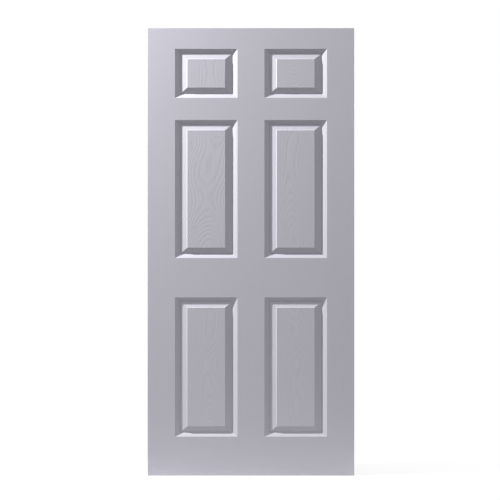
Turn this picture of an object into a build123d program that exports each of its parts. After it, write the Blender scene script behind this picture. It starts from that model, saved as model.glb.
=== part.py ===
"""Six-panel front door leaf: two moulded skins on a timber frame, with a foam core.

Millimetres. The origin is at the middle of the leaf's bottom edge. +X runs to the right as
the front is seen, +Y runs from the front face to the back face, and +Z is up.
"""

import os

from build123d import *

# The leaf
door_width = 915.0
door_height = 1981.0
door_thickness = 44.0

# The moulded skins
skin_thickness = 2.5
skin_draw = 0.5  # how far the inside of a skin stands out past the outside, beside a slope
skin_arris = 0.8  # the eased edge round each face

# The layout of each face, between the edges of the panel openings
stile_face_width = 121.5
muntin_face_width = 120.0
top_rail_face_height = 92.5
frieze_rail_face_height = 98.5
lock_rail_face_height = 175.0
bottom_rail_face_height = 173.0
upper_panel_height = 216.5
middle_panel_height = 610.0

# The moulding round each panel: a quirk, an ovolo, a groove, a bevel and a shoulder up to the field
quirk_run = 1.0
quirk_depth = 0.8
sticking_width = 20.8
sticking_depth = 9.2  # where the ovolo and the bevel meet the groove between them
groove_width = 3.8
groove_draw = 0.6  # how far each wall of the groove leans
groove_depth = 10.8
bevel_width = 26.8
shoulder_run = 3.0
shoulder_height = 2.0
field_depth = 0.6
rail_moulding_share = 0.83  # the same moulding is narrower along the rails than beside the stiles
ovolo_crown_shares = (0.52, 0.44)  # the ovolo's control point, along its run and down its fall

# The timber frame inside
frame_stile_width = 38.0
frame_top_rail_height = 60.0
frame_bottom_rail_height = 110.0
lock_block_length = 460.0
lock_block_clearance = 3.0  # between a lock block and the moulded panels beside it

# The staples across the butt joints of the frame
staple_crown_length = 25.0
staple_leg_length = 14.0
staple_wire_width = 1.6
staple_wire_thickness = 1.2
staple_spacing_share = 0.5  # of the height of the rail that they hold

# Cutters stand this far past what they cut
overrun = 1.0

# Sizes that follow from those above
panel_width = (door_width - 2 * stile_face_width - muntin_face_width) / 2
upper_stack = top_rail_face_height + upper_panel_height + frieze_rail_face_height
middle_stack = upper_stack + middle_panel_height + lock_rail_face_height
lower_panel_height = door_height - middle_stack - bottom_rail_face_height
panel_x = (muntin_face_width + panel_width) / 2
upper_panel_z = door_height - top_rail_face_height - upper_panel_height / 2
middle_panel_z = door_height - upper_stack - middle_panel_height / 2
lower_panel_z = bottom_rail_face_height + lower_panel_height / 2
lock_rail_z = bottom_rail_face_height + lower_panel_height + lock_rail_face_height / 2

frame_thickness = door_thickness - 2 * skin_thickness
frame_rail_length = door_width - 2 * frame_stile_width
frame_stile_x = (door_width - frame_stile_width) / 2
frame_top_rail_z = door_height - frame_top_rail_height / 2
frame_bottom_rail_z = frame_bottom_rail_height / 2
core_height = door_height - frame_top_rail_height - frame_bottom_rail_height
core_z = frame_bottom_rail_height + core_height / 2
lock_block_width = stile_face_width - frame_stile_width - skin_draw - lock_block_clearance
lock_block_x = (frame_rail_length - lock_block_width) / 2

# Seen from the end of a moulding, u runs across the panel and v runs into the door
side_section = Plane.XY
rail_section = Plane(origin=(0, 0, 0), x_dir=(0, 0, 1), z_dir=(-1, 0, 0))


def bowl_section(plane, half_opening, share, growth, sink, lead):
    """The recess of one panel, cut across: its quirks, ovolos and grooves, open to the face."""
    edge = half_opening + growth * share
    lip = edge - quirk_run * share
    foot = edge - sticking_width * share
    floor = foot - groove_draw * share
    run = lip - foot
    fall = sticking_depth - quirk_depth
    crown_u = lip - run * ovolo_crown_shares[0]
    crown_v = sink + quirk_depth + fall * ovolo_crown_shares[1]
    lip_v = sink + quirk_depth
    foot_v = sink + sticking_depth
    floor_v = sink + groove_depth
    with BuildSketch(plane) as section:
        with BuildLine():
            Polyline((-edge, -lead), (edge, -lead), (edge, sink), (lip, lip_v))
            Bezier((lip, lip_v), (crown_u, crown_v), (foot, foot_v))
            Polyline((foot, foot_v), (floor, floor_v), (-floor, floor_v), (-foot, foot_v))
            Bezier((-foot, foot_v), (-crown_u, crown_v), (-lip, lip_v))
            Polyline((-lip, lip_v), (-edge, sink), (-edge, -lead))
        make_face()
    return section.sketch


def field_section(plane, half_opening, share, growth, sink, root):
    """The raised panel that stands in the recess, cut across: its field, shoulders and bevels."""
    foot = half_opening - (sticking_width + groove_width + growth) * share
    ledge = foot - bevel_width * share
    brow = ledge - shoulder_run * share
    toe = foot + groove_draw * share
    field_v = sink + field_depth
    ledge_v = field_v + shoulder_height
    foot_v = sink + sticking_depth
    floor_v = sink + groove_depth
    root_v = floor_v + root
    right_side = ((brow, field_v), (ledge, ledge_v), (foot, foot_v), (toe, floor_v), (toe, root_v))
    left_side = [(-u, v) for u, v in reversed(right_side)]
    with BuildSketch(plane) as section:
        with BuildLine():
            Polyline(*right_side, *left_side, close=True)
        make_face()
    return section.sketch


def mitred(section, height, growth, sink, reach):
    """Runs a section round a panel: what its upright and its level lengths have in common."""
    upright = section(side_section, panel_width / 2, 1, growth, sink, reach)
    level = section(rail_section, height / 2, rail_moulding_share, growth, sink, reach)
    with BuildPart() as crossing:
        extrude(upright, amount=height, both=True)
        extrude(level, amount=panel_width, both=True, mode=Mode.INTERSECT)
    return crossing.part


def panel_hollow(height, growth, sink, lead):
    """The space in front of one moulded panel, centred on it, with its face plane at y = 0.

    growth and sink move it outwards and inwards, from a skin's outside to its inside, and lead
    is how far it stands out in front of the face.
    """
    field = mitred(field_section, height, growth, sink, overrun)
    bowl = mitred(bowl_section, height, growth, sink, lead)
    with BuildPart() as hollow:
        add(bowl)
        add(field, mode=Mode.SUBTRACT)
    return hollow.part


panel_rows = (
    (upper_panel_height, upper_panel_z),
    (middle_panel_height, middle_panel_z),
    (lower_panel_height, lower_panel_z),
)


def all_panels(growth, sink, lead):
    """The spaces in front of the six moulded panels of the front face, in their places."""
    with BuildPart() as panels:
        for height, z in panel_rows:
            hollow = panel_hollow(height, growth, sink, lead)
            with Locations((-panel_x, -door_thickness / 2, z), (panel_x, -door_thickness / 2, z)):
                add(hollow)
    return panels.part


outer_panels = all_panels(0, 0, overrun)
inner_panels = all_panels(skin_draw, skin_thickness, 0)

# The front skin is a sheet that dips behind each panel by as much as it is hollowed in front
with BuildPart() as front_skin:
    with BuildSketch(Plane.XZ.offset(door_thickness / 2)):
        with Locations((0, door_height / 2)):
            Rectangle(door_width, door_height)
    extrude(amount=-skin_thickness)
    front_edges = front_skin.faces().sort_by(Axis.Y)[0].edges()
    chamfer(front_edges, skin_arris)
    add(inner_panels)
    add(outer_panels, mode=Mode.SUBTRACT)
front_skin.part.label = "front_skin"

# The back skin comes from the same mould, turned to face the other way
with BuildPart() as back_skin:
    mirror(front_skin.part, about=Plane.XZ)
back_skin.part.label = "back_skin"


def staple(joint_x, outward):
    """One staple: its crown bridges the joint at joint_x, flush with the frame's face on that side."""
    face_y = outward * frame_thickness / 2
    middle_y = face_y - outward * staple_leg_length / 2
    inside_y = middle_y - outward * staple_wire_thickness
    inside_length = staple_crown_length - 2 * staple_wire_thickness
    with BuildPart() as wire:
        with BuildSketch(Plane.XY.offset(-staple_wire_width / 2)):
            with Locations((joint_x, middle_y)):
                Rectangle(staple_crown_length, staple_leg_length)
            with Locations((joint_x, inside_y)):
                Rectangle(inside_length, staple_leg_length, mode=Mode.SUBTRACT)
        extrude(amount=staple_wire_width)
    return wire.part


# The staples hold each corner of the frame together from both faces
with BuildPart() as frame_staples:
    for rail_z, rail_height in (
        (frame_top_rail_z, frame_top_rail_height),
        (frame_bottom_rail_z, frame_bottom_rail_height),
    ):
        spacing = rail_height * staple_spacing_share
        for joint_x in (-frame_rail_length / 2, frame_rail_length / 2):
            for outward in (-1, 1):
                with Locations((0, 0, rail_z - spacing / 2), (0, 0, rail_z + spacing / 2)):
                    add(staple(joint_x, outward))
frame_staples.part.label = "frame_staples"


def frame_member(width, height, x, z):
    """One straight timber of the frame, cut to its size, with the staples' slots in it."""
    with BuildPart() as timber:
        with Locations((x, 0, z)):
            Box(width, frame_thickness, height)
        add(frame_staples.part, mode=Mode.SUBTRACT)
    return timber.part


# The stiles run the full height, and the rails fit between them
with BuildPart() as left_stile:
    add(frame_member(frame_stile_width, door_height, -frame_stile_x, door_height / 2))
left_stile.part.label = "left_stile"

with BuildPart() as right_stile:
    add(frame_member(frame_stile_width, door_height, frame_stile_x, door_height / 2))
right_stile.part.label = "right_stile"

with BuildPart() as top_rail:
    add(frame_member(frame_rail_length, frame_top_rail_height, 0, frame_top_rail_z))
top_rail.part.label = "top_rail"

with BuildPart() as bottom_rail:
    add(frame_member(frame_rail_length, frame_bottom_rail_height, 0, frame_bottom_rail_z))
bottom_rail.part.label = "bottom_rail"

# A lock block stands against each stile at lock height, so that the leaf can be hung on either side
with BuildPart() as left_lock_block:
    with Locations((-lock_block_x, 0, lock_rail_z)):
        Box(lock_block_width, frame_thickness, lock_block_length)
left_lock_block.part.label = "left_lock_block"

with BuildPart() as right_lock_block:
    mirror(left_lock_block.part, about=Plane.YZ)
right_lock_block.part.label = "right_lock_block"

# The foam fills what is left between the skins, inside the frame and round the lock blocks
with BuildPart() as foam_core:
    with Locations((0, 0, core_z)):
        Box(frame_rail_length, frame_thickness, core_height)
    add(inner_panels, mode=Mode.SUBTRACT)
    mirror(inner_panels, about=Plane.XZ, mode=Mode.SUBTRACT)
    add(left_lock_block.part, mode=Mode.SUBTRACT)
    add(right_lock_block.part, mode=Mode.SUBTRACT)
foam_core.part.label = "foam_core"

os.makedirs("parts", exist_ok=True)
for piece in (
    front_skin,
    back_skin,
    left_stile,
    right_stile,
    top_rail,
    bottom_rail,
    left_lock_block,
    right_lock_block,
    foam_core,
    frame_staples,
):
    export_step(piece.part, f"parts/{piece.part.label}.step")
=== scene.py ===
"""Looks of a six-panel front door leaf: moulded skins, a softwood frame and a foam core.

Metres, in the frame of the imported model: +X runs to the right as the front is seen, +Y runs
from the front face to the back face, and +Z is up from the middle of the bottom edge.
"""

import logging
import math
from collections.abc import Iterator, Sequence
from dataclasses import dataclass, field
from enum import Enum
from typing import Any

import bmesh
import bpy
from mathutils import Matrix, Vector


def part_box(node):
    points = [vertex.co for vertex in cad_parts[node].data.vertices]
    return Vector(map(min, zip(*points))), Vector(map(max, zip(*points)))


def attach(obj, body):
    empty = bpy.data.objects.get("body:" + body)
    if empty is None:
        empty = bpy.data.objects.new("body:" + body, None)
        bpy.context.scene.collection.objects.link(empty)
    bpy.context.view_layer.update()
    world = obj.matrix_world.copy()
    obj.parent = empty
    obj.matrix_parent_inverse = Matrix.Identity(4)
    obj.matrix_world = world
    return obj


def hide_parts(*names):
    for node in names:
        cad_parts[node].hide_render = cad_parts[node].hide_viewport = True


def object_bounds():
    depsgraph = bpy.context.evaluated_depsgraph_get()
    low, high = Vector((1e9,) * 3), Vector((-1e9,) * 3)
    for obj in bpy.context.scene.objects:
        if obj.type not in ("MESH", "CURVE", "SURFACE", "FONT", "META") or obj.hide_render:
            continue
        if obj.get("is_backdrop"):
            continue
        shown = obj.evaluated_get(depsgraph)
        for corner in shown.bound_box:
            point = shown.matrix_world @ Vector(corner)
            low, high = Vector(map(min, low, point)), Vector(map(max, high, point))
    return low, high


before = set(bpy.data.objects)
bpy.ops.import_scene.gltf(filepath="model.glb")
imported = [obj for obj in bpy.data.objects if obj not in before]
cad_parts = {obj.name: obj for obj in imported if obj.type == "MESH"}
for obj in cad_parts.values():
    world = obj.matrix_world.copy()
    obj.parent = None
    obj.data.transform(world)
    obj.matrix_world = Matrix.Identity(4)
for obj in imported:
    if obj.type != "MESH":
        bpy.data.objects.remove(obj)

LOG = logging.getLogger("front_door")
BODY = "root"
LINE_DIGITS = 7  # mesh lines that agree to so many digits are one line
MITRE_SLACK = 5e-7
MERGE_DISTANCE = 5e-6
Colour = tuple[float, float, float]
Point = tuple[float, float, float]
WHITE: Colour = (1.0, 1.0, 1.0)
ROW_NAMES = ("Upper", "Middle", "Lower")


class Face(Enum):
    """The two faces of the leaf, each with the way that leads from it into the leaf, along Y."""

    FRONT = 1
    BACK = -1


class Run(Enum):
    """The row axis that the grain of a timber runs along."""

    UPRIGHT = "Z"
    LEVEL = "X"


class Value:
    """A number that changes from point to point: a socket that takes Python's operators."""

    def __init__(self, sheet: "NodeSheet", socket: bpy.types.NodeSocket) -> None:
        """Keeps the socket and the sheet that its node is on."""
        self.sheet = sheet
        self.socket = socket

    def _with(self, operation: str, *others: "Number") -> "Value":
        """This value as the first number of one Math node."""
        return self.sheet.math(operation, self, *others)

    def __add__(self, other: "Number") -> "Value":
        """Adds."""
        return self._with("ADD", other)

    def __radd__(self, other: float) -> "Value":
        """Adds to a plain number."""
        return self._with("ADD", other)

    def __sub__(self, other: "Number") -> "Value":
        """Subtracts."""
        return self._with("SUBTRACT", other)

    def __rsub__(self, other: float) -> "Value":
        """Subtracts from a plain number."""
        return self.sheet.math("SUBTRACT", other, self)

    def __mul__(self, other: "Number") -> "Value":
        """Multiplies."""
        return self._with("MULTIPLY", other)

    def __rmul__(self, other: float) -> "Value":
        """Multiplies a plain number."""
        return self._with("MULTIPLY", other)

    def __truediv__(self, other: "Number") -> "Value":
        """Divides."""
        return self._with("DIVIDE", other)

    def __rtruediv__(self, other: float) -> "Value":
        """Divides a plain number."""
        return self.sheet.math("DIVIDE", other, self)

    def __pow__(self, other: "Number") -> "Value":
        """Raises to a power."""
        return self._with("POWER", other)

    def __abs__(self) -> "Value":
        """Drops the sign."""
        return self._with("ABSOLUTE")

    def above(self, limit: "Number") -> "Value":
        """1 where this is more than the limit, and 0 elsewhere."""
        return self._with("GREATER_THAN", limit)

    def below(self, limit: "Number") -> "Value":
        """1 where this is less than the limit, and 0 elsewhere."""
        return self._with("LESS_THAN", limit)

    def least(self, other: "Number") -> "Value":
        """The smaller of two."""
        return self._with("MINIMUM", other)

    def most(self, other: "Number") -> "Value":
        """The larger of two."""
        return self._with("MAXIMUM", other)

    def clamped(self) -> "Value":
        """This value, kept between 0 and 1."""
        return self.most(0.0).least(1.0)

    def root(self) -> "Value":
        """The square root."""
        return self._with("SQRT")

    def sine(self) -> "Value":
        """The sine of an angle in radians."""
        return self._with("SINE")

    def floor(self) -> "Value":
        """The whole number below."""
        return self._with("FLOOR")

    def sign(self) -> "Value":
        """-1, 0 or 1."""
        return self._with("SIGN")

    def swing(self, height: float) -> "Value":
        """A zigzag between 0 and the height."""
        return self._with("PINGPONG", height)

    def towards(self, other: "Number", share: "Value") -> "Value":
        """This value where the share is 0, and the other one where it is 1."""
        return self + (other - self) * share


Number = Value | float


class NodeSheet:
    """One node tree, and the few ways in which nodes are added to it."""

    def __init__(self, tree: bpy.types.NodeTree) -> None:
        """Keeps the tree."""
        self.tree = tree

    @staticmethod
    def socket(sockets: Any, key: str | int) -> bpy.types.NodeSocket:
        """Finds a socket.

        Args:
            sockets: The inputs or outputs of a node.
            key: A number, or a name that several sockets may share.

        Returns:
            The socket at the number, or the first one in use that has the name.
        """
        if isinstance(key, int):
            return sockets[key]
        return next(s for s in sockets if s.name == key and s.enabled)

    def put(self, socket: bpy.types.NodeSocket, value: Any) -> None:
        """Fills a socket.

        Args:
            socket: The input to fill.
            value: A value, a socket or a node, whose first output counts, to link; or what to set.
        """
        if isinstance(value, Value):
            self.tree.links.new(value.socket, socket)
        elif isinstance(value, bpy.types.NodeSocket):
            self.tree.links.new(value, socket)
        elif isinstance(value, bpy.types.Node):
            self.tree.links.new(value.outputs[0], socket)
        else:
            socket.default_value = value

    def node(
        self,
        kind: str,
        settings: dict[str, Any] | None = None,
        sockets: dict[str | int, Any] | None = None,
    ) -> bpy.types.Node:
        """Adds a node.

        Args:
            kind: The node's type.
            settings: Its own properties, which are set first.
            sockets: What its inputs hold or are linked to, by name or number.

        Returns:
            The new node.
        """
        made = self.tree.nodes.new(kind)
        for name, value in (settings or {}).items():
            setattr(made, name, value)
        for key, value in (sockets or {}).items():
            self.put(self.socket(made.inputs, key), value)
        return made

    def out(self, node: bpy.types.Node, key: str | int = 0) -> Value:
        """One output of a node as a value."""
        return Value(self, self.socket(node.outputs, key))

    def math(self, operation: str, *numbers: Number) -> Value:
        """One Math node on up to three numbers."""
        sockets = dict(enumerate(numbers))
        return self.out(self.node("ShaderNodeMath", {"operation": operation}, sockets))

    def split(self, vector: Any) -> tuple[Value, Value, Value]:
        """The three parts of a vector."""
        parts = self.node("ShaderNodeSeparateXYZ", None, {"Vector": vector})
        return self.out(parts, "X"), self.out(parts, "Y"), self.out(parts, "Z")

    def vector(self, x: Number, y: Number, z: Number) -> bpy.types.Node:
        """A vector of three numbers."""
        return self.node("ShaderNodeCombineXYZ", None, {"X": x, "Y": y, "Z": z})

    def noise(self, vector: Any, detail: float = 2.0, roughness: float = 0.5) -> Value:
        """Smooth noise between 0 and 1, one step of the vector to a lump."""
        sockets = {"Vector": vector, "Scale": 1.0, "Detail": detail, "Roughness": roughness}
        return self.out(self.node("ShaderNodeTexNoise", {"noise_dimensions": "3D"}, sockets))

    def mix(self, share: Number, low: Any, high: Any) -> bpy.types.NodeSocket:
        """A colour between two others.

        Args:
            share: 0 for the low colour and 1 for the high one.
            low: One colour, or what it is linked to.
            high: The other.

        Returns:
            The mixed colour.
        """
        sockets = {"Factor": share, "A": low, "B": high}
        made = self.node("ShaderNodeMix", {"data_type": "RGBA"}, sockets)
        return self.socket(made.outputs, "Result")


def opaque(colour: Colour, level: float = 1.0) -> tuple[float, float, float, float]:
    """A colour with its alpha, made lighter or darker by a level."""
    return (colour[0] * level, colour[1] * level, colour[2] * level, 1.0)


def inset_from_sides(x: Value, half_width: Number, offset: Number) -> Value:
    """How far a point lies inside the upright edges of the nearer column of panels."""
    return half_width - abs(abs(x) - offset)


def inset_from_rails(z: Value, rows: Sequence[tuple[Number, Number]]) -> Value:
    """How far a point lies inside the level edges of the nearest row of panels.

    Args:
        z: The point's height.
        rows: Half the height and the middle of each row.

    Returns:
        The distance, which is negative on the rails.
    """
    insets = [half_height - abs(z - middle) for half_height, middle in rows]
    nearest = insets[0]
    for inset in insets[1:]:
        nearest = nearest.most(inset)
    return nearest


@dataclass(frozen=True)
class Moulding:
    """The section round each panel: a quirk, an ovolo, a groove, a bevel and a shoulder to the field.

    An inset is measured from the edge of the panel towards its middle, beside a stile. Along a rail
    the whole section is narrower by the rail share. The softness is how far each corner of the section
    is rounded to both sides.
    """

    quirk_run: float = 0.0010
    quirk_depth: float = 0.0008
    sticking_width: float = 0.0208
    sticking_depth: float = 0.0092
    groove_width: float = 0.0038
    groove_draw: float = 0.0006
    groove_depth: float = 0.0108
    bevel_width: float = 0.0268
    shoulder_run: float = 0.0030
    shoulder_height: float = 0.0020
    field_depth: float = 0.0006
    rail_share: float = 0.83
    ovolo_crown: tuple[float, float] = (0.52, 0.44)
    ovolo_steps: int = 5
    softness: float = 0.0003

    @property
    def raised_from(self) -> float:
        """The inset of the foot of the raised panel."""
        return self.sticking_width + self.groove_width

    @property
    def ledge(self) -> float:
        """The inset of the foot of the shoulder."""
        return self.raised_from + self.bevel_width

    @property
    def brow(self) -> float:
        """The inset of the edge of the field."""
        return self.ledge + self.shoulder_run

    def insets(self) -> list[float]:
        """The insets at which a mesh of the moulding needs a line.

        Returns:
            Each corner with the ends of its rounding and a line beyond them, which keeps what lies
            between two corners flat, and a few lines across the ovolo.
        """
        groove = (self.sticking_width, self.sticking_width + self.groove_draw)
        rise = (self.raised_from - self.groove_draw, self.raised_from)
        corners = (0.0, self.quirk_run, *groove, *rise, self.ledge, self.brow)
        rounded = [corner + i * self.softness for corner in corners for i in (-2, -1, 0, 1, 2)]
        ovolo_run = self.sticking_width - self.quirk_run
        ovolo = [self.quirk_run + ovolo_run * i / self.ovolo_steps for i in range(1, self.ovolo_steps)]
        return rounded + ovolo


@dataclass(frozen=True)
class FaceLayout:
    """Where the stiles, rails and panels lie on a face of the leaf."""

    width: float
    height: float
    stile_face: float = 0.1215
    muntin_face: float = 0.120
    top_rail_face: float = 0.0925
    frieze_rail_face: float = 0.0985
    lock_rail_face: float = 0.175
    bottom_rail_face: float = 0.173
    upper_panel: float = 0.2165
    middle_panel: float = 0.610

    @property
    def half_panel_width(self) -> float:
        """Half the width of a panel opening."""
        return (self.width - 2 * self.stile_face - self.muntin_face) / 4

    @property
    def panel_x(self) -> float:
        """How far the middle of a panel lies from the middle of the leaf."""
        return self.muntin_face / 2 + self.half_panel_width

    @property
    def rows(self) -> tuple[tuple[float, float], ...]:
        """The rows of panels.

        Returns:
            Half the height and the middle of each row, from the top down.
        """
        upper_top = self.height - self.top_rail_face
        middle_top = upper_top - self.upper_panel - self.frieze_rail_face
        lower_top = middle_top - self.middle_panel - self.lock_rail_face
        spans = (
            (upper_top, upper_top - self.upper_panel),
            (middle_top, middle_top - self.middle_panel),
            (lower_top, self.bottom_rail_face),
        )
        return tuple(((top - bottom) / 2, (top + bottom) / 2) for top, bottom in spans)


class Finish:
    """A finish: one procedural material, made from an empty node tree."""

    name: str = "finish"

    def shade(self, sheet: NodeSheet, shader: bpy.types.Node) -> None:
        """Adds the finish's own nodes and links them to the shader."""
        raise NotImplementedError

    def make(self) -> bpy.types.Material:
        """Makes the material.

        Returns:
            A material with one shader, which carries this finish.
        """
        material = bpy.data.materials.new(self.name)
        material.use_nodes = True
        sheet = NodeSheet(material.node_tree)
        sheet.tree.nodes.clear()
        shader = sheet.node("ShaderNodeBsdfPrincipled")
        sheet.node("ShaderNodeOutputMaterial", None, {"Surface": shader})
        self.shade(sheet, shader)
        return material


def place_on_leaf(sheet: NodeSheet) -> bpy.types.NodeSocket:
    """The point's place in the frame: its object's own coordinates."""
    return sheet.node("ShaderNodeTexCoord").outputs["Object"]


def embossed(sheet: NodeSheet, height: Value) -> bpy.types.Node:
    """A bump of a height in metres."""
    return sheet.node("ShaderNodeBump", None, {"Strength": 1.0, "Distance": 1.0, "Height": height})


@dataclass(frozen=True)
class SkinPaint(Finish):
    """Cool pale grey primer on a skin that is embossed with the grain of stiles, rails and panels."""

    layout: FaceLayout
    moulding: Moulding
    name: str = "primed_skin"
    colour: Colour = (0.546, 0.540, 0.605)
    member_seeds: tuple[float, float, float, float] = (3.7, 5.3, 1.9, 7.1)
    cloud_swing: float = 0.02
    cloud_size: tuple[float, float] = (0.15, 0.45)
    cloud_seed: float = 31.0
    ring_tone: float = 0.965
    member_ring_pitch: float = 0.0062
    field_ring_pitch: float = 0.0046
    ring_wobble: float = 1.1
    ring_edge: float = 2.5
    wobbles_per_metre: tuple[float, float] = (34.0, 5.0)
    wobble_seed: float = 11.0
    heart_aside: float = 0.2
    heart_depth: tuple[float, float] = (0.015, 0.20)
    drifts_per_metre: tuple[float, float] = (2.0, 2.2)
    member_ring_depth: float = 0.00007
    field_ring_depth: float = 0.00013
    pore_tone: float = 0.93
    pore_size: tuple[float, float] = (0.0011, 0.045)
    pore_seed: float = 23.0
    pore_level: float = 0.55
    pore_edge: float = 7.0
    early_pore_share: float = 0.3
    pore_depth: float = 0.00008
    peel_size: float = 0.0022
    peel_depth: float = 0.000012
    roughness: tuple[float, float] = (0.42, 0.56)

    def _members(self, sheet: NodeSheet, point: Any) -> tuple[Value, Value, Value, Value]:
        """Follows the grain from member to member.

        Args:
            sheet: The material's nodes.
            point: The point's place on the leaf.

        Returns:
            The places across and along the grain, a seed for the member, and 1 on a raised panel.
        """
        layout, moulding = self.layout, self.moulding
        x, y, z = sheet.split(point)
        side = inset_from_sides(x, layout.half_panel_width, layout.panel_x)
        level = inset_from_rails(z, layout.rows) / moulding.rail_share
        inset = side.least(level)
        raised = inset.above(moulding.raised_from)
        stile = abs(x).above(layout.width / 2 - layout.stile_face)
        muntin = level.above(0.0) * abs(x).below(layout.muntin_face / 2)
        side_sticking = inset.above(0.0) * side.below(level)
        upright = stile.most(muntin).most(raised).most(side_sticking)
        across = z.towards(x, upright)
        along = x.towards(z, upright)
        on_raised, on_face, on_upright, on_column = self.member_seeds
        seed = raised * on_raised + y.sign() * on_face + upright * on_upright + x.sign() * raised * on_column
        return across, along, seed, raised

    def _rings(
        self, sheet: NodeSheet, aside: Value, point: tuple[Value, Value, Value], raised: Value
    ) -> Value:
        """The late wood of the growth rings: straight beside the heart, arched where the cut runs out.

        Args:
            sheet: The material's nodes.
            aside: How far the point lies to the side of the heart of its board.
            point: The places across and along the grain, and the member's seed.
            raised: 1 on a raised panel, whose rings are closer.

        Returns:
            1 in the late wood, and 0 in the early wood.
        """
        across, along, seed = point
        drift_across, drift_along = self.drifts_per_metre
        drift = sheet.noise(sheet.vector(across * drift_across, along * drift_along, seed), detail=1.0)
        wobble_across, wobble_along = self.wobbles_per_metre
        wobble_place = sheet.vector(across * wobble_across, along * wobble_along, seed + self.wobble_seed)
        wobble = sheet.noise(wobble_place, detail=3.0)
        nearest, change = self.heart_depth
        behind = nearest + change * drift
        member_rate, field_rate = 1.0 / self.member_ring_pitch, 1.0 / self.field_ring_pitch
        rate = member_rate + (field_rate - member_rate) * raised
        rings = (aside * aside + behind * behind).root() * rate + self.ring_wobble * wobble
        return (0.5 + 0.5 * (rings * (2 * math.pi)).sine()) ** self.ring_edge

    def shade(self, sheet: NodeSheet, shader: bpy.types.Node) -> None:
        """Embosses the growth rings and pores, and tints the paint that lies in them.

        Args:
            sheet: The material's nodes.
            shader: The shader that takes the finish.
        """
        point = place_on_leaf(sheet)
        across, along, seed, raised = self._members(sheet, point)
        x, y, z = sheet.split(point)
        heart_beside = (across + self.heart_aside).towards(abs(x) - self.layout.panel_x, raised)
        late_wood = self._rings(sheet, heart_beside, (across, along, seed), raised)
        pore_width, pore_length = self.pore_size
        pore_place = sheet.vector(across / pore_width, along / pore_length, seed + self.pore_seed)
        grain = sheet.noise(pore_place, detail=2.0, roughness=0.6)
        pore_share = self.early_pore_share + (1.0 - self.early_pore_share) * late_wood
        pores = ((grain - self.pore_level) * self.pore_edge).clamped() * pore_share
        cloud_width, cloud_length = self.cloud_size
        cloud_place = sheet.vector(across / cloud_width, along / cloud_length, seed + self.cloud_seed)
        cloud = sheet.noise(cloud_place, detail=3.0)
        peel_place = sheet.vector(x / self.peel_size, y / self.peel_size, z / self.peel_size)
        peel = sheet.noise(peel_place, detail=1.0)
        more_depth = self.field_ring_depth - self.member_ring_depth
        grooves = late_wood * (self.member_ring_depth + more_depth * raised)
        relief = peel * self.peel_depth - pores * self.pore_depth - grooves
        low, high = 1.0 - self.cloud_swing, 1.0 + self.cloud_swing
        body = sheet.mix(cloud, opaque(self.colour, low), opaque(self.colour, high))
        ringed = sheet.mix(late_wood, body, opaque(self.colour, self.ring_tone))
        tinted = sheet.mix(pores, ringed, opaque(self.colour, self.pore_tone))
        smooth, rough = self.roughness
        sheet.put(shader.inputs["Base Color"], tinted)
        sheet.put(shader.inputs["Roughness"], smooth + (rough - smooth) * (0.5 * grain + 0.5 * pores))
        sheet.put(shader.inputs["Normal"], embossed(sheet, relief))


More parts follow.
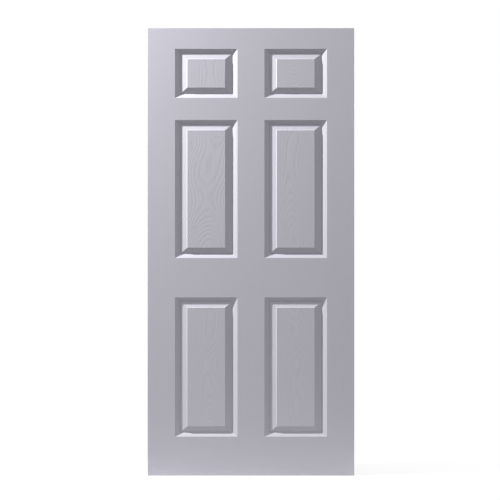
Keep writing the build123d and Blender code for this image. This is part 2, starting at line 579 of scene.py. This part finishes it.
@dataclass(frozen=True)
class Softwood(Finish):
    """Planed, finger-jointed softwood, with rings that turn to end grain where it is cut across.

    The middle is the place of the timber's own middle across its width, which each stave's heart
    lies some way from, to the side and behind.
    """

    run: Run
    middle: float
    name: str = "planed_softwood"
    early_wood: Colour = (0.47, 0.30, 0.165)
    late_wood: Colour = (0.29, 0.155, 0.072)
    end_level: float = 0.72
    end_facing: float = 0.7
    stave_swing: float = 0.45
    glue: Colour = (0.20, 0.12, 0.06)
    ring_pitch: float = 0.0037
    ring_edge: float = 2.5
    heart_depth: float = 0.060
    heart_swing: tuple[float, float] = (0.050, 0.024)
    sway: tuple[float, float] = (0.012, 0.008)
    sway_length: float = 0.35
    stave_turns: tuple[float, float] = (12.9898, 78.233)
    stave_length: float = 0.43
    finger_length: float = 0.010
    finger_pitch: float = 0.0078
    finger_start: float = 0.5
    glue_line: float = 0.0004
    fibre_size: tuple[float, float] = (0.0009, 0.025)
    fibre_share: float = 0.3
    fibre_depth: float = 0.00006
    roughness: tuple[float, float] = (0.62, 0.82)

    def _joints(self, y: Value, along: Value) -> tuple[Value, Value]:
        """Cuts the timber into staves that are fingered into each other.

        Args:
            y: The place through the timber, which the fingers step along.
            along: The place along the timber.

        Returns:
            The number of the stave, and 1 on a glue line.
        """
        steepness = 2 * self.finger_length / self.finger_pitch
        finger = (y + self.finger_start).swing(self.finger_pitch / 2) * steepness
        place = (along + finger) / self.stave_length + abs(self.middle)
        stave = place.floor()
        from_middle = abs(place - stave - 0.5) * self.stave_length
        return stave, from_middle.above((self.stave_length - self.glue_line) / 2)

    def _rings(self, sheet: NodeSheet, stave: Value, wide: Value, y: Value, along: Value) -> Value:
        """The growth rings of a stave.

        Args:
            sheet: The material's nodes.
            stave: The number of the stave.
            wide: The place across the timber, from its middle.
            y: The place through the timber.
            along: The place along the timber.

        Returns:
            0 where a ring starts, and 1 in the late wood where it ends.
        """
        turn, other_turn = [(stave * rate + self.middle * rate).sine() for rate in self.stave_turns]
        sway_place = sheet.vector(along / self.sway_length, stave * math.pi, wide / self.sway_length)
        sway = sheet.noise(sway_place, detail=1.0) - 0.5
        aside = wide - turn * self.heart_swing[0] + sway * self.sway[0]
        behind = y - self.heart_depth - other_turn * self.heart_swing[1] + sway * self.sway[1]
        rings = (aside * aside + behind * behind).root() / self.ring_pitch
        return (rings - rings.floor()) ** self.ring_edge

    def shade(self, sheet: NodeSheet, shader: bpy.types.Node) -> None:
        """Lays rings, fibres and finger joints along the timber.

        Args:
            sheet: The material's nodes.
            shader: The shader that takes the finish.
        """
        x, y, z = sheet.split(place_on_leaf(sheet))
        upright = self.run is Run.UPRIGHT
        along, wide = (z, x - self.middle) if upright else (x, z - self.middle)
        stave, joint = self._joints(y, along)
        late = self._rings(sheet, stave, wide, y, along)
        fibre_width, fibre_length = self.fibre_size
        fibre_place = sheet.vector(along / fibre_length, wide / fibre_width, y / fibre_width)
        fibre = sheet.noise(fibre_place, detail=2.0)
        tone = (1.0 - self.fibre_share) * late + self.fibre_share * fibre
        normal_x, _, normal_z = sheet.split(sheet.node("ShaderNodeNewGeometry").outputs["Normal"])
        end = abs(normal_z if upright else normal_x).above(self.end_facing)
        pale, dark = self.early_wood, self.late_wood
        planed = sheet.mix(tone, opaque(pale), opaque(dark))
        sawn = sheet.mix(tone, opaque(pale, self.end_level), opaque(dark, self.end_level))
        cut = sheet.mix(end, planed, sawn)
        deeper = (0.5 + 0.5 * (stave * self.stave_turns[0]).sine()) * self.stave_swing
        shaded = sheet.mix(deeper, cut, opaque(dark))
        smooth, rough = self.roughness
        relief = (fibre - late - joint) * self.fibre_depth
        sheet.put(shader.inputs["Base Color"], sheet.mix(joint, shaded, opaque(self.glue)))
        sheet.put(shader.inputs["Roughness"], smooth + (rough - smooth) * fibre)
        sheet.put(shader.inputs["Normal"], embossed(sheet, relief))


@dataclass(frozen=True)
class RigidFoam(Finish):
    """Closed-cell foam: small round cells, a little darker where they meet."""

    name: str = "rigid_foam"
    colour: Colour = (0.74, 0.62, 0.36)
    seam: Colour = (0.55, 0.43, 0.22)
    cells_per_metre: float = 420.0
    wall_edge: float = 4.0
    cell_depth: float = 0.0004
    roughness: tuple[float, float] = (0.80, 0.95)

    def shade(self, sheet: NodeSheet, shader: bpy.types.Node) -> None:
        """Fills the foam with cells.

        Args:
            sheet: The material's nodes.
            shader: The shader that takes the finish.
        """
        cells = sheet.node(
            "ShaderNodeTexVoronoi",
            {"feature": "DISTANCE_TO_EDGE"},
            {"Vector": place_on_leaf(sheet), "Scale": self.cells_per_metre},
        )
        wall = 1.0 - (sheet.out(cells, "Distance") * self.wall_edge).clamped()
        smooth, rough = self.roughness
        sheet.put(shader.inputs["Base Color"], sheet.mix(wall, opaque(self.colour), opaque(self.seam)))
        sheet.put(shader.inputs["Roughness"], smooth + (rough - smooth) * wall)
        sheet.put(shader.inputs["Normal"], embossed(sheet, wall * self.cell_depth))


@dataclass(frozen=True)
class GalvanisedWire(Finish):
    """Drawn wire with a dull zinc coat, brighter and duller in patches."""

    name: str = "galvanised_wire"
    bright: Colour = (0.62, 0.63, 0.65)
    dull: Colour = (0.42, 0.43, 0.45)
    spangles_per_metre: tuple[float, float] = (400.0, 900.0)
    roughness: tuple[float, float] = (0.3, 0.6)

    def shade(self, sheet: NodeSheet, shader: bpy.types.Node) -> None:
        """Clouds the zinc.

        Args:
            sheet: The material's nodes.
            shader: The shader that takes the finish.
        """
        x, y, z = sheet.split(place_on_leaf(sheet))
        level_rate, upright_rate = self.spangles_per_metre
        spangle_place = sheet.vector(x * level_rate, y * level_rate, z * upright_rate)
        spangle = sheet.noise(spangle_place, detail=3.0)
        smooth, rough = self.roughness
        shader.inputs["Metallic"].default_value = 1.0
        sheet.put(shader.inputs["Base Color"], sheet.mix(spangle, opaque(self.dull), opaque(self.bright)))
        sheet.put(shader.inputs["Roughness"], smooth + (rough - smooth) * spangle)


class PanelRelief:
    """The rule that presses the panels into a flat sheet, as a Geometry Nodes tree.

    Each point is pressed in by a depth that follows from its inset, and its edges are eased. The
    pressed sheet then gets an inner face and a rim, so that it is a closed shell.
    """

    OPEN_EDGE_LIMIT = 1.5  # an edge with fewer faces than this lies on the rim
    LEAF_NUMBERS = (
        "Way in", "Leaf width", "Leaf height", "Panel half width", "Panel offset", "Arris", "Skin thickness",
    )
    ROW_NUMBERS = tuple(f"{row} {part}" for row in ROW_NAMES for part in ("half height", "middle"))
    # These are named after the moulding's own sizes, which fill them
    MOULDING_NUMBERS = (
        "Rail share", "Quirk run", "Quirk depth", "Sticking width", "Sticking depth", "Groove draw",
        "Groove depth", "Raised from", "Bevel width", "Shoulder run", "Shoulder height", "Field depth",
        "Softness",
    )
    NUMBERS = LEAF_NUMBERS + ROW_NUMBERS + MOULDING_NUMBERS

    def __init__(self, moulding: Moulding) -> None:
        """Builds the tree.

        Args:
            moulding: The section whose ovolo the tree is made for.
        """
        self.moulding = moulding
        self.tree = bpy.data.node_groups.new("panel_relief", "GeometryNodeTree")
        self.sheet = NodeSheet(self.tree)
        self.keys: dict[str, str] = {}
        self._build()

    def _input(self, name: str, kind: str) -> None:
        """Adds a named input and keeps its identifier."""
        socket = self.tree.interface.new_socket(name, in_out="INPUT", socket_type=kind)
        self.keys[name] = socket.identifier

    @staticmethod
    def _curve(run: Value, control: tuple[float, float]) -> Value:
        """A curve from (0, 0) to (1, 1) with one control point.

        Args:
            run: The share of the run at which the curve is read.
            control: The control point, along the run and up the rise.

        Returns:
            The share of the rise there.
        """
        control_run, control_rise = control
        bend = (1 - 2 * control_run) * run + control_run**2
        t = run / (bend.root() + control_run)
        return 2 * control_rise * t * (1.0 - t) + t * t

    def _depth(self, inset: Value, size: dict[str, Value]) -> Value:
        """The sharp section of the moulding.

        Args:
            inset: How far a point lies inside the edge of its panel.
            size: The tree's inputs, by name.

        Returns:
            How far the sheet is pressed in there.
        """
        quirk = (inset / size["Quirk run"]).clamped() * size["Quirk depth"]
        ovolo_run = size["Sticking width"] - size["Quirk run"]
        ovolo = self._curve(((inset - size["Quirk run"]) / ovolo_run).clamped(), self.moulding.ovolo_crown)
        past_foot = inset - size["Raised from"]
        near_wall = ((inset - size["Sticking width"]) / size["Groove draw"]).clamped()
        far_wall = (past_foot / size["Groove draw"] + 1.0).clamped()
        bevel = (past_foot / size["Bevel width"]).clamped()
        shoulder = ((past_foot - size["Bevel width"]) / size["Shoulder run"]).clamped()
        fall = size["Sticking depth"] - size["Quirk depth"]
        slot = size["Groove depth"] - size["Sticking depth"]
        rise = size["Sticking depth"] - size["Field depth"] - size["Shoulder height"]
        pressed = quirk + ovolo * fall + (near_wall - far_wall) * slot
        return pressed - bevel * rise - shoulder * size["Shoulder height"]

    def _soft_depth(self, inset: Value, size: dict[str, Value]) -> Value:
        """The section with its corners rounded.

        Args:
            inset: How far a point lies inside the edge of its panel.
            size: The tree's inputs, by name.

        Returns:
            The depths at the middle and the two ends of a short stretch, averaged.
        """
        softness = size["Softness"]
        ends = self._depth(inset - softness, size) + self._depth(inset + softness, size)
        return (ends + 2.0 * self._depth(inset, size)) / 4.0

    def _eased_edge(self, x: Value, z: Value, size: dict[str, Value]) -> Value:
        """The round arris of the sheet's outer edges.

        Args:
            x: The point's place across the sheet.
            z: The point's height.
            size: The tree's inputs, by name.

        Returns:
            How far the sheet drops there.
        """
        half_height = size["Leaf height"] / 2
        from_edge = (size["Leaf width"] / 2 - abs(x)).least(half_height - abs(z - half_height))
        into_arris = (size["Arris"] - from_edge).most(0.0)
        arris = size["Arris"]
        return arris - (arris * arris - into_arris * into_arris).most(0.0).root()

    def _build(self) -> None:
        """Adds the inputs and the nodes: press the sheet, give it a back and a rim, and finish it."""
        sheet = self.sheet
        self._input("Geometry", "NodeSocketGeometry")
        for name in self.NUMBERS:
            self._input(name, "NodeSocketFloat")
        self._input("Finish", "NodeSocketMaterial")
        self.tree.interface.new_socket("Geometry", in_out="OUTPUT", socket_type="NodeSocketGeometry")
        given = sheet.node("NodeGroupInput")
        size = {name: sheet.out(given, name) for name in self.NUMBERS}
        x, _, z = sheet.split(sheet.node("GeometryNodeInputPosition"))
        rows = [(size[f"{row} half height"], size[f"{row} middle"]) for row in ROW_NAMES]
        side = inset_from_sides(x, size["Panel half width"], size["Panel offset"])
        level = inset_from_rails(z, rows) / size["Rail share"]
        drop = self._soft_depth(side.least(level), size) + self._eased_edge(x, z, size)
        inwards = sheet.vector(0.0, drop * size["Way in"], 0.0)
        flat = given.outputs["Geometry"]
        pressed = sheet.node("GeometryNodeSetPosition", None, {"Geometry": flat, "Offset": inwards})
        through = sheet.vector(0.0, size["Skin thickness"] * size["Way in"], 0.0)
        faces_beside = sheet.out(sheet.node("GeometryNodeInputMeshEdgeNeighbors"))
        open_edges = faces_beside.below(self.OPEN_EDGE_LIMIT)
        rimmed = sheet.node(
            "GeometryNodeExtrudeMesh",
            {"mode": "EDGES"},
            {"Mesh": pressed, "Selection": open_edges, "Offset": through},
        )
        inside = sheet.node("GeometryNodeSetPosition", None, {"Geometry": pressed, "Offset": through})
        turned = sheet.node("GeometryNodeFlipFaces", None, {"Mesh": inside})
        joined = sheet.node("GeometryNodeJoinGeometry")
        for half in (turned, rimmed):
            self.tree.links.new(half.outputs[0], joined.inputs[0])
        merging = {"Geometry": joined, "Distance": MERGE_DISTANCE}
        closed = sheet.node("GeometryNodeMergeByDistance", None, merging)
        real = sheet.node("GeometryNodeRealizeInstances", None, {"Geometry": closed})
        paint = given.outputs["Finish"]
        finished = sheet.node("GeometryNodeSetMaterial", None, {"Geometry": real, "Material": paint})
        sheet.node("NodeGroupOutput", None, {"Geometry": finished})

    def press(self, sheet_object: bpy.types.Object, sizes: dict[str, Any]) -> None:
        """Runs the tree on a flat sheet and leaves the result as its plain mesh.

        Args:
            sheet_object: The flat sheet.
            sizes: What the tree's inputs hold, by name.
        """
        modifier = sheet_object.modifiers.new("relief", "NODES")
        modifier.node_group = self.tree
        for name, value in sizes.items():
            modifier[self.keys[name]] = value
        evaluated = sheet_object.evaluated_get(bpy.context.evaluated_depsgraph_get())
        mesh = bpy.data.meshes.new_from_object(evaluated)
        sheet_object.modifiers.clear()
        sheet_object.data = mesh


@dataclass
class MouldedSkin:
    """One of the two skins: a sheet pressed with six panels, that stands for its CAD node."""

    face: Face
    node: str
    layout: FaceLayout
    moulding: Moulding
    thickness: float = 0.0025
    arris: float = 0.0008
    arris_steps: int = 3
    largest_cell: float = 0.30
    crease: float = math.radians(30.0)
    piece: bpy.types.Object | None = field(default=None, init=False)

    def _filled(self, lines: Sequence[float]) -> list[float]:
        """Orders lines and adds more between those that are far apart.

        Args:
            lines: Places along one direction, in any order.

        Returns:
            The places in order, each once.
        """
        ordered = sorted({round(line, LINE_DIGITS) for line in lines})
        filled = [ordered[0]]
        for start, end in zip(ordered, ordered[1:]):
            cells = max(1, math.ceil((end - start) / self.largest_cell))
            filled += [start + (end - start) * i / cells for i in range(1, cells + 1)]
        return filled

    def _eased(self) -> list[float]:
        """How far the lines of the eased edge lie from it, with one beyond it that keeps the face flat."""
        return [self.arris * i / self.arris_steps for i in range(self.arris_steps + 2)]

    def _across(self) -> list[float]:
        """The sheet's upright lines.

        Returns:
            Their places along x, in order.
        """
        half, middle = self.layout.half_panel_width, self.layout.panel_x
        edges = [self.layout.width / 2 - inset for inset in self._eased()]
        sides = [middle + way * (half - inset) for inset in self.moulding.insets() for way in (-1, 1)]
        return self._filled([way * x for x in edges + sides for way in (-1, 1)])

    def _up(self) -> list[float]:
        """The sheet's level lines.

        Returns:
            Their heights, in order.
        """
        share = self.moulding.rail_share
        lines = self._eased() + [self.layout.height - z for z in self._eased()]
        insets = [inset * share for inset in self.moulding.insets()]
        for half, middle in self.layout.rows:
            lines += [middle + way * (half - inset) for inset in insets for way in (-1, 1)]
        return self._filled(lines)

    def _insets_at(self, x: float, z: float) -> tuple[float, float]:
        """How far a point lies inside its panel.

        Args:
            x: The point's place across the leaf.
            z: The point's height.

        Returns:
            Its insets from the sides and, in the sides' measure, from the rails.
        """
        side = self.layout.half_panel_width - abs(abs(x) - self.layout.panel_x)
        level = max(half - abs(z - middle) for half, middle in self.layout.rows)
        return side, level / self.moulding.rail_share

    def _cells(self, across: list[float], up: list[float]) -> Iterator[tuple[int, ...]]:
        """Goes through the sheet's cells, split where a mitre crosses them.

        Args:
            across: The places of the upright lines.
            up: The heights of the level lines.

        Yields:
            The numbers of a cell's corners.
        """
        columns = len(across)
        for j in range(len(up) - 1):
            for i in range(columns - 1):
                low = j * columns + i
                corners = (low, low + 1, low + 1 + columns, low + columns)
                rising = self._on_mitre(across[i], up[j]) and self._on_mitre(across[i + 1], up[j + 1])
                falling = self._on_mitre(across[i + 1], up[j]) and self._on_mitre(across[i], up[j + 1])
                if rising:
                    yield corners[0], corners[1], corners[2]
                    yield corners[0], corners[2], corners[3]
                elif falling:
                    yield corners[0], corners[1], corners[3]
                    yield corners[1], corners[2], corners[3]
                else:
                    yield corners

    def _on_mitre(self, x: float, z: float) -> bool:
        """Tells where two lengths of the moulding meet.

        Args:
            x: A point's place across the leaf.
            z: The point's height.

        Returns:
            True on a mitre.
        """
        side, level = self._insets_at(x, z)
        reach = 2 * self.moulding.softness
        return -reach <= side <= self.moulding.brow + reach and abs(side - level) < MITRE_SLACK

    def _flat_sheet(self) -> bpy.types.Object:
        """Makes the flat sheet that the panels are pressed into.

        Returns:
            The sheet, in the plane of its face.
        """
        across, up = self._across(), self._up()
        low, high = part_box(self.node)
        y = low.y if self.face is Face.FRONT else high.y
        points = [(x, y, z) for z in up for x in across]
        cells = list(self._cells(across, up))
        if self.face is Face.BACK:
            cells = [cell[::-1] for cell in cells]
        mesh = bpy.data.meshes.new(f"{self.node}_sheet")
        mesh.from_pydata(points, [], cells)
        piece = bpy.data.objects.new(f"moulded_{self.node}", mesh)
        bpy.context.scene.collection.objects.link(piece)
        return piece

    def _sizes(self, finish: bpy.types.Material) -> dict[str, Any]:
        """Gathers what the relief's inputs hold for this skin.

        Args:
            finish: The paint.

        Returns:
            The sizes and the paint, by the names of the inputs.
        """
        layout = self.layout
        sizes = {
            "Way in": float(self.face.value),
            "Leaf width": layout.width,
            "Leaf height": layout.height,
            "Panel half width": layout.half_panel_width,
            "Panel offset": layout.panel_x,
            "Arris": self.arris,
            "Skin thickness": self.thickness,
            "Finish": finish,
        }
        for name in PanelRelief.MOULDING_NUMBERS:
            sizes[name] = getattr(self.moulding, name.lower().replace(" ", "_"))
        for row, (half, middle) in zip(ROW_NAMES, layout.rows):
            sizes[f"{row} half height"] = half
            sizes[f"{row} middle"] = middle
        return sizes

    def build(self, relief: PanelRelief, finish: bpy.types.Material) -> None:
        """Presses the skin, closes it, and sets its creases.

        Args:
            relief: The rule that presses the panels.
            finish: The paint.
        """
        self.piece = self._flat_sheet()
        relief.press(self.piece, self._sizes(finish))
        mesh = self.piece.data
        mesh.shade_smooth()
        mesh.set_sharp_from_angle(angle=self.crease)
        shell = bmesh.new()
        shell.from_mesh(mesh)
        bmesh.ops.recalc_face_normals(shell, faces=shell.faces)
        for edge in shell.edges:
            along = edge.verts[1].co - edge.verts[0].co
            if min(abs(along.x), abs(along.z)) > MITRE_SLACK:
                edge.smooth = False
        shell.to_mesh(mesh)
        shell.free()

    def dress(self) -> None:
        """Puts the skin in its CAD node's place."""
        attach(self.piece, BODY)
        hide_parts(self.node)
        LOG.info("%s: %d faces", self.piece.name, len(self.piece.data.polygons))


@dataclass
class TimberFrame:
    """The stiles, rails and lock blocks, each with its grain along its length."""

    runs: dict[str, Run] = field(
        default_factory=lambda: {
            "left_stile": Run.UPRIGHT,
            "right_stile": Run.UPRIGHT,
            "top_rail": Run.LEVEL,
            "bottom_rail": Run.LEVEL,
            "left_lock_block": Run.UPRIGHT,
            "right_lock_block": Run.UPRIGHT,
        }
    )

    def dress(self) -> None:
        """Gives each timber wood that runs its way, cut from staves of its own."""
        for node, run in self.runs.items():
            low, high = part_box(node)
            middle = (low + high) / 2
            across = middle.x if run is Run.UPRIGHT else middle.z
            finish_node(node, Softwood(run, across, f"softwood_{node}").make())


@dataclass
class HiddenFilling:
    """What the skins close in: the foam core and the staples of the frame."""

    foam: str = "foam_core"
    staples: str = "frame_staples"

    def dress(self) -> None:
        """Gives the foam and the staples their finishes."""
        finish_node(self.foam, RigidFoam().make())
        finish_node(self.staples, GalvanisedWire().make())


def finish_node(node: str, material: bpy.types.Material) -> None:
    """Gives a CAD node one material and reports it.

    Args:
        node: The node's name.
        material: Its finish.
    """
    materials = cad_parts[node].data.materials
    materials.clear()
    materials.append(material)
    LOG.info("%s: %s", node, material.name)


@dataclass
class Studio:
    """The pale floor, the white surround, the lamps and the camera.

    The floor's levels are its greys round the leaf, within the apron, and far from it. The shadow
    share is how much of the leaf's shadow shows at its foot.
    """

    leaf_middle: Vector
    half_width: float
    face_y: float
    floor_reach: float = 30.0
    floor_near: float = 0.52
    floor_far: float = 0.165
    apron: float = 0.45
    shadow_floor: float = 0.8
    shadow_share: float = 0.24
    shadow_reach: float = 1.1
    shadow_fade: float = 2.0
    fill: Colour = (0.575, 0.570, 0.580)
    key_place: Point = (-2.60, -0.53, 3.50)
    key_power: float = 285.0
    key_radius: float = 0.05
    back_place: Point = (2.20, 1.60, 2.30)
    back_power: float = 62.0
    back_radius: float = 0.35
    lens: float = 85.0
    sensor_width: float = 36.0
    camera_distance: float = 5.2245
    camera_aside: float = -0.0042
    camera_up: float = 0.0080

    def _seen(self, sheet: NodeSheet) -> Value:
        """Marks what the camera sees, straight or in a gloss or glass.

        Args:
            sheet: The nodes of the floor or the surround.

        Returns:
            1 for such a ray, and 0 for the light that falls on the leaf.
        """
        path = sheet.node("ShaderNodeLightPath")
        straight = sheet.out(path, "Is Camera Ray")
        glossy = sheet.out(path, "Is Glossy Ray")
        return straight.most(glossy).most(sheet.out(path, "Is Transmission Ray"))

    def _from_leaf(self, sheet: NodeSheet) -> Value:
        """Measures the floor.

        Args:
            sheet: The nodes of the floor.

        Returns:
            How far a point of the floor lies from the foot of the leaf.
        """
        x, y, _ = sheet.split(place_on_leaf(sheet))
        beside = (abs(x - self.leaf_middle.x) - self.half_width).most(0.0)
        return (beside * beside + y * y).root()

    def _floor_finish(self) -> bpy.types.Material:
        """Makes a matt floor that is paler round the leaf.

        Returns:
            A material that looks white but for the leaf's shadow.
        """
        material = bpy.data.materials.new("pale_floor")
        material.use_nodes = True
        sheet = NodeSheet(material.node_tree)
        sheet.tree.nodes.clear()
        distance = self._from_leaf(sheet)
        near = (1.0 - distance / self.apron).clamped()
        grey = sheet.mix(near, opaque((self.floor_far,) * 3), opaque((self.floor_near,) * 3))
        matt = sheet.node("ShaderNodeBsdfDiffuse", None, {"Color": grey})
        shaded = sheet.node("ShaderNodeBsdfDiffuse", None, {"Color": opaque((self.shadow_floor,) * 3)})
        white = sheet.node("ShaderNodeEmission", None, {"Color": opaque(WHITE), "Strength": 1.0})
        fade = (1.0 - distance / self.shadow_reach).clamped() ** self.shadow_fade * self.shadow_share
        shown = sheet.node("ShaderNodeMixShader", None, {0: fade, 1: white, 2: shaded})
        both = sheet.node("ShaderNodeMixShader", None, {0: self._seen(sheet), 1: matt, 2: shown})
        sheet.node("ShaderNodeOutputMaterial", None, {"Surface": both})
        return material

    def _floor(self) -> None:
        """The floor that the leaf stands on."""
        reach = self.floor_reach
        mesh = bpy.data.meshes.new("floor")
        corners = [(-reach, -reach, 0), (reach, -reach, 0), (reach, reach, 0), (-reach, reach, 0)]
        mesh.from_pydata(corners, [], [(0, 1, 2, 3)])
        mesh.materials.append(self._floor_finish())
        floor = bpy.data.objects.new("floor", mesh)
        bpy.context.scene.collection.objects.link(floor)
        floor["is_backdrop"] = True

    def _surround(self) -> None:
        """A world that looks white and fills the shadows softly."""
        world = bpy.data.worlds.new("surround")
        world.use_nodes = True
        sheet = NodeSheet(world.node_tree)
        sheet.tree.nodes.clear()
        soft = sheet.node("ShaderNodeBackground", None, {"Color": opaque(self.fill), "Strength": 1.0})
        white = sheet.node("ShaderNodeBackground", None, {"Color": opaque(WHITE), "Strength": 1.0})
        both = sheet.node("ShaderNodeMixShader", None, {0: self._seen(sheet), 1: soft, 2: white})
        sheet.node("ShaderNodeOutputWorld", None, {"Surface": both})
        bpy.context.scene.world = world

    def _lamp(self, name: str, place: Point, power: float, radius: float) -> None:
        """Adds a round lamp that looks at the middle of the leaf.

        Args:
            name: The lamp's name.
            place: Where it stands.
            power: Its power in watts.
            radius: The radius of its disc.
        """
        light = bpy.data.lights.new(name, "AREA")
        light.shape = "DISK"
        light.size = 2 * radius
        light.energy = power
        lamp = bpy.data.objects.new(name, light)
        lamp.location = place
        aim = self.leaf_middle - Vector(place)
        lamp.rotation_euler = aim.to_track_quat("-Z", "Y").to_euler()
        bpy.context.scene.collection.objects.link(lamp)

    def _camera(self) -> None:
        """A camera square to the front face."""
        data = bpy.data.cameras.new("camera")
        data.lens = self.lens
        data.sensor_width = self.sensor_width
        camera = bpy.data.objects.new("camera", data)
        camera.location = (
            self.leaf_middle.x + self.camera_aside,
            self.face_y - self.camera_distance,
            self.leaf_middle.z + self.camera_up,
        )
        camera.rotation_euler = (math.pi / 2, 0.0, 0.0)
        bpy.context.scene.collection.objects.link(camera)
        bpy.context.scene.camera = camera

    def build(self) -> None:
        """Sets up the studio."""
        bpy.context.scene.view_settings.view_transform = "Standard"
        self._floor()
        self._surround()
        self._lamp("key", self.key_place, self.key_power, self.key_radius)
        self._lamp("back_light", self.back_place, self.back_power, self.back_radius)
        self._camera()
        LOG.info("studio: key at %s", self.key_place)


def main() -> None:
    """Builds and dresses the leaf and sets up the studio."""
    logging.basicConfig(level=logging.INFO, format="%(message)s")
    low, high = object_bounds()
    layout = FaceLayout(width=high.x - low.x, height=high.z - low.z)
    moulding = Moulding()
    paint = SkinPaint(layout, moulding).make()
    relief = PanelRelief(moulding)
    for face, node in ((Face.FRONT, "front_skin"), (Face.BACK, "back_skin")):
        skin = MouldedSkin(face, node, layout, moulding)
        skin.build(relief, paint)
        skin.dress()
    TimberFrame().dress()
    HiddenFilling().dress()
    Studio(leaf_middle=(low + high) / 2, half_width=layout.width / 2, face_y=low.y).build()


if __name__ == "__main__":
    main()
